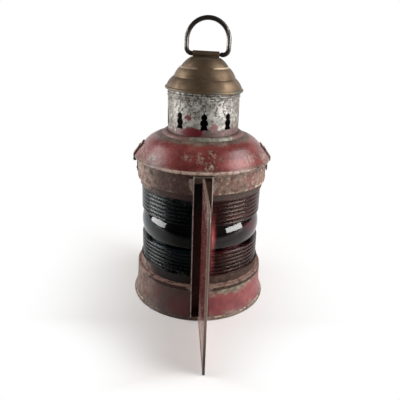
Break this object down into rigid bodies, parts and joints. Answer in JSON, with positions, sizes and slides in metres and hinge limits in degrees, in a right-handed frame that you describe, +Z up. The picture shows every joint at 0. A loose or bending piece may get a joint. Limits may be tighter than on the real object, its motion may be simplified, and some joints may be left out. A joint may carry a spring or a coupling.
{
  "type": "ship bow lantern",
  "caption": "Old ship's bow lantern: green and red ribbed lenses parted by an upright screen, flared base, hinged domed lid with vented chimney, stepped cap and hanging ring, oil burner inside.",
  "frame": {"origin": "centre of the rolled rim that the lantern stands on, on the ground", "axes": "+Z up, -Y forward along the screen, +X to port (red lens), -X to starboard (green lens)"},
  "size_m": [0.124, 0.192, 0.2487],
  "materials": {
    "red_paint": "faded dull red paint, worn to bare metal on edges",
    "galvanised": "mottled dull zinc",
    "iron": "dark and slightly rusty",
    "old_brass": "brown patina",
    "lamp_brass": "dull",
    "green_glass": "pressed, blue-green",
    "red_glass": "pressed, ruby",
    "wick_cotton": "woven cotton, charred at the top"
  },
  "bodies": {
    "housing": {"base_skirt": "red_paint", "base_floor": "galvanised", "lens_seat": "red_paint", "back_shell": "red_paint", "lens_channels": "red_paint", "upper_collar": "red_paint", "lens_retainer": "galvanised", "green_lens": "green_glass", "red_lens": "red_glass", "centre_post": "red_paint", "screen_fin": "red_paint", "bracket_socket": "iron", "hinge_lower_leaf": "iron", "hinge_pin": "iron", "font_clips": "galvanised", "font_tank": "lamp_brass", "filler_cap": "lamp_brass", "burner_collar": "lamp_brass", "burner_base": "lamp_brass", "burner_cup": "lamp_brass", "burner_cone": "lamp_brass", "wick_tube": "lamp_brass"},
    "lid": {"dome": "red_paint", "hinge_upper_leaf": "iron", "catch_strap": "iron", "chimney_bead": "galvanised", "chimney": "galvanised", "draught_tube": "galvanised", "vent_cap": "old_brass", "ring_sleeve": "old_brass"},
    "ring": {"hanging_ring": "iron"},
    "wick_drive": {"wick_spindle": "lamp_brass", "spur_wheels": "iron", "wick_knob": "lamp_brass"},
    "wick": {"wick": "wick_cotton"}
  },
  "joints": [
    {"name": "lid_hinge", "type": "hinge", "parent": "housing", "child": "lid", "pos_m": [-0.0589, 0, 0.12975], "axis": [0, -1, 0], "range_deg": [0, 110]},
    {"name": "ring_swing", "type": "hinge", "parent": "lid", "child": "ring", "pos_m": [0, 0, 0.21861], "axis": [1, 0, 0], "range_deg": [-115, 115]},
    {"name": "knob_turn", "type": "hinge", "parent": "housing", "child": "wick_drive", "pos_m": [0, -0.0052, 0.0396], "axis": [1, 0, 0], "range_deg": [-105, 105]},
    {"name": "wick_lift", "type": "slide", "parent": "housing", "child": "wick", "axis": [0, 0, 1], "range_m": [-0.0063, 0.0063]}
  ],
  "couplings": [
    {"joint": "wick_lift", "follows": "knob_turn", "m_per_rad": 0.0034}
  ]
}
